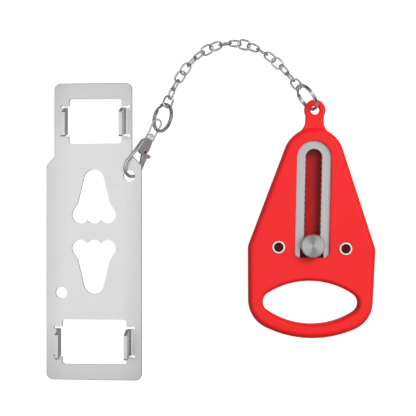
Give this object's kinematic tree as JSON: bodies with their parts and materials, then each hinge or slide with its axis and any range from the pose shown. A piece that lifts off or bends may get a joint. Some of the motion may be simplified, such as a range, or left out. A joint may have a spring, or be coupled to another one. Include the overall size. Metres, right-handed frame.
{
  "type": "portable door lock",
  "caption": "Clawed steel strike plate joined by a small chain, split rings and a swivel clasp to a flat hand grip with a sliding lock stud in a notched rail.",
  "frame": {"origin": "on the back face of the hand grip, midway between its two rivets", "axes": "+Y from the finger hole to the grip's loop, +Z out of the grip's front, +X to the right; the chain, clasp and plate lie on the -X side"},
  "size_m": [0.1559, 0.1631, 0.0149],
  "materials": {
    "red_shell": "satin moulded plastic",
    "rail_steel": "blanked stainless strip",
    "rivet_steel": "polished",
    "slider_steel": "plain",
    "washer_plastic": "plain",
    "stud_steel": "turned",
    "ring_steel": "nickel plated",
    "chain_steel": "nickel plated",
    "clasp_steel": "nickel plated",
    "plate_steel": "brushed stainless sheet"
  },
  "bodies": {
    "grip": {"front_cover": "red_shell", "back_cover": "red_shell", "slot_rail": "rail_steel", "rivet_left": "rivet_steel", "rivet_right": "rivet_steel"},
    "slider": {"slider_plate": "slider_steel", "friction_washer": "washer_plastic"},
    "stud": {"lock_stud": "stud_steel"},
    "grip_ring": {"grip_split_ring": "ring_steel"},
    "link_01": {"chain_link_01": "chain_steel"},
    "link_02": {"chain_link_02": "chain_steel"},
    "link_03": {"chain_link_03": "chain_steel"},
    "link_04": {"chain_link_04": "chain_steel"},
    "link_05": {"chain_link_05": "chain_steel"},
    "link_06": {"chain_link_06": "chain_steel"},
    "link_07": {"chain_link_07": "chain_steel"},
    "link_08": {"chain_link_08": "chain_steel"},
    "link_09": {"chain_link_09": "chain_steel"},
    "link_10": {"chain_link_10": "chain_steel"},
    "link_11": {"chain_link_11": "chain_steel"},
    "link_12": {"chain_link_12": "chain_steel"},
    "link_13": {"chain_link_13": "chain_steel"},
    "link_14": {"chain_link_14": "chain_steel"},
    "link_15": {"chain_link_15": "chain_steel"},
    "link_16": {"chain_link_16": "chain_steel"},
    "link_17": {"chain_link_17": "chain_steel"},
    "link_18": {"chain_link_18": "chain_steel"},
    "link_19": {"chain_link_19": "chain_steel"},
    "clasp_ring": {"clasp_split_ring": "ring_steel"},
    "eye": {"swivel_eye": "clasp_steel"},
    "clasp": {"clasp_body": "clasp_steel", "swivel_rivet": "clasp_steel", "gate_pin": "rivet_steel", "gate_spring": "rivet_steel"},
    "gate": {"clasp_gate": "clasp_steel"},
    "plate": {"lock_plate": "plate_steel"}
  },
  "joints": [
    {"name": "stud_slide", "type": "slide", "parent": "grip", "child": "slider", "axis": [0, 1, 0], "range_m": [0, 0.041]},
    {"name": "stud_turn", "type": "hinge", "parent": "slider", "child": "stud", "pos_m": [0, 0.001, 0.00495], "axis": [0, 0, 1], "continuous": true},
    {"name": "grip_ring_swing", "type": "hinge", "parent": "grip", "child": "grip_ring", "pos_m": [0, 0.0647, 0.0055], "axis": [0, 0, 1], "range_deg": [-25, 25]},
    {"name": "link_01_swing", "type": "hinge", "parent": "grip_ring", "child": "link_01", "pos_m": [-0.0077, 0.075, 0.00606], "axis": [0, 0, -1], "range_deg": [-12, 12]},
    {"name": "link_02_swing", "type": "hinge", "parent": "link_01", "child": "link_02", "pos_m": [-0.01033, 0.0785, 0.00485], "axis": [0, 0, 1], "range_deg": [-12, 12]},
    {"name": "link_03_swing", "type": "hinge", "parent": "link_02", "child": "link_03", "pos_m": [-0.0132, 0.08191, 0.00391], "axis": [0, 0, -1], "range_deg": [-12, 12]},
    {"name": "link_04_swing", "type": "hinge", "parent": "link_03", "child": "link_04", "pos_m": [-0.01631, 0.08516, 0.00324], "axis": [0, 0, 1], "range_deg": [-12, 12]},
    {"name": "link_05_swing", "type": "hinge", "parent": "link_04", "child": "link_05", "pos_m": [-0.0197, 0.08817, 0.00283], "axis": [0, 0, -1], "range_deg": [-12, 12]},
    {"name": "link_06_swing", "type": "hinge", "parent": "link_05", "child": "link_06", "pos_m": [-0.02338, 0.09084, 0.0027], "axis": [0, 0, 1], "range_deg": [-12, 12]},
    {"name": "link_07_swing", "type": "hinge", "parent": "link_06", "child": "link_07", "pos_m": [-0.02737, 0.09303, 0.0027], "axis": [0, 0, -1], "range_deg": [-12, 12]},
    {"name": "link_08_swing", "type": "hinge", "parent": "link_07", "child": "link_08", "pos_m": [-0.03163, 0.09463, 0.0027], "axis": [0, 0, 1], "range_deg": [-12, 12]},
    {"name": "link_09_swing", "type": "hinge", "parent": "link_08", "child": "link_09", "pos_m": [-0.03609, 0.09552, 0.0027], "axis": [0, 0, -1], "range_deg": [-12, 12]},
    {"name": "link_10_swing", "type": "hinge", "parent": "link_09", "child": "link_10", "pos_m": [-0.04064, 0.09561, 0.0027], "axis": [0, 0, 1], "range_deg": [-12, 12]},
    {"name": "link_11_swing", "type": "hinge", "parent": "link_10", "child": "link_11", "pos_m": [-0.04513, 0.09488, 0.0027], "axis": [0, 0, -1], "range_deg": [-12, 12]},
    {"name": "link_12_swing", "type": "hinge", "parent": "link_11", "child": "link_12", "pos_m": [-0.04941, 0.09334, 0.0027], "axis": [0, 0, 1], "range_deg": [-12, 12]},
    {"name": "link_13_swing", "type": "hinge", "parent": "link_12", "child": "link_13", "pos_m": [-0.05336, 0.09107, 0.0027], "axis": [0, 0, -1], "range_deg": [-12, 12]},
    {"name": "link_14_swing", "type": "hinge", "parent": "link_13", "child": "link_14", "pos_m": [-0.05688, 0.0882, 0.0027], "axis": [0, 0, 1], "range_deg": [-12, 12]},
    {"name": "link_15_swing", "type": "hinge", "parent": "link_14", "child": "link_15", "pos_m": [-0.05996, 0.08485, 0.0027], "axis": [0, 0, -1], "range_deg": [-12, 12]},
    {"name": "link_16_swing", "type": "hinge", "parent": "link_15", "child": "link_16", "pos_m": [-0.06261, 0.08115, 0.00286], "axis": [0, 0, 1], "range_deg": [-12, 12]},
    {"name": "link_17_swing", "type": "hinge", "parent": "link_16", "child": "link_17", "pos_m": [-0.06485, 0.07722, 0.00334], "axis": [0, 0, -1], "range_deg": [-12, 12]},
    {"name": "link_18_swing", "type": "hinge", "parent": "link_17", "child": "link_18", "pos_m": [-0.06676, 0.07316, 0.00414], "axis": [0, 0, 1], "range_deg": [-12, 12]},
    {"name": "link_19_swing", "type": "hinge", "parent": "link_18", "child": "link_19", "pos_m": [-0.06837, 0.06906, 0.00527], "axis": [0, 0, -1], "range_deg": [-12, 12]},
    {"name": "clasp_ring_swing", "type": "hinge", "parent": "link_19", "child": "clasp_ring", "pos_m": [-0.06973, 0.06497, 0.00671], "axis": [0, 0, 1], "range_deg": [-15, 5]},
    {"name": "eye_swing", "type": "hinge", "parent": "clasp_ring", "child": "eye", "pos_m": [-0.07499, 0.05485, 0.00308], "axis": [0, 0, -1], "range_deg": [-20, 20]},
    {"name": "clasp_swivel", "type": "hinge", "parent": "eye", "child": "clasp", "pos_m": [-0.07757, 0.04922, 0.00345], "axis": [-0.4155, -0.9076, 0.0594], "continuous": true},
    {"name": "gate_open", "type": "hinge", "parent": "clasp", "child": "gate", "pos_m": [-0.07995, 0.04327, 0.00358], "axis": [-0.5793, 0.2137, -0.7866], "range_deg": [0, 8], "stiffness_Nm_per_rad": 0.005, "springref_deg": -20.05},
    {"name": "plate_swing", "type": "hinge", "parent": "clasp", "child": "plate", "pos_m": [-0.0865, 0.03173, 0.00527], "axis": [-0.1132, -0.0027, 0.9936], "range_deg": [-2, 35]}
  ]
}
